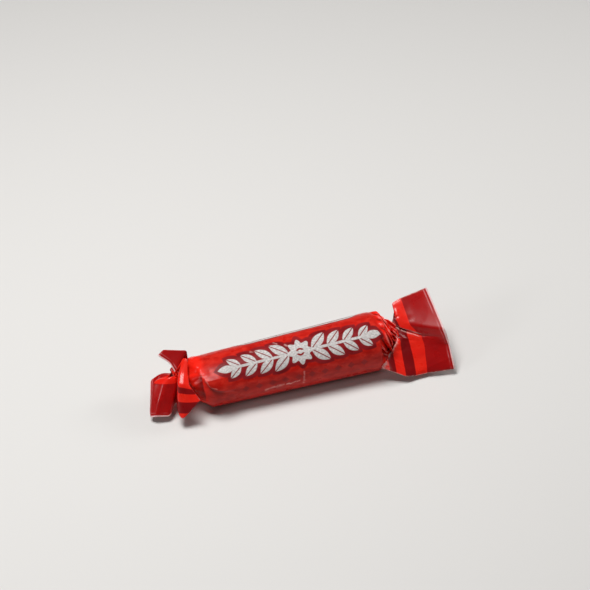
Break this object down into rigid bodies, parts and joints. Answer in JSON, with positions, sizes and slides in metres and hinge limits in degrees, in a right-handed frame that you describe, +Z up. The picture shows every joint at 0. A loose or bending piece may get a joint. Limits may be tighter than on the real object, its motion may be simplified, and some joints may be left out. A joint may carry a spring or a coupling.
{
  "type": "wrapped caramel candy",
  "caption": "Soft caramel roll shut in red and maroon printed film, twisted at both ends into pleated necks and folded, striped film fans.",
  "frame": {"origin": "on the floor under the middle of the caramel roll, on the pressed flat of its underside", "axes": "+X along the roll towards its thicker end, +Y across it to the back, +Z up"},
  "size_m": [0.0781, 0.0189, 0.0166],
  "materials": {
    "printed_film": "glossy printed film"
  },
  "bodies": {
    "root": {"wrapped_caramel": "printed_film"}
  },
  "joints": []
}
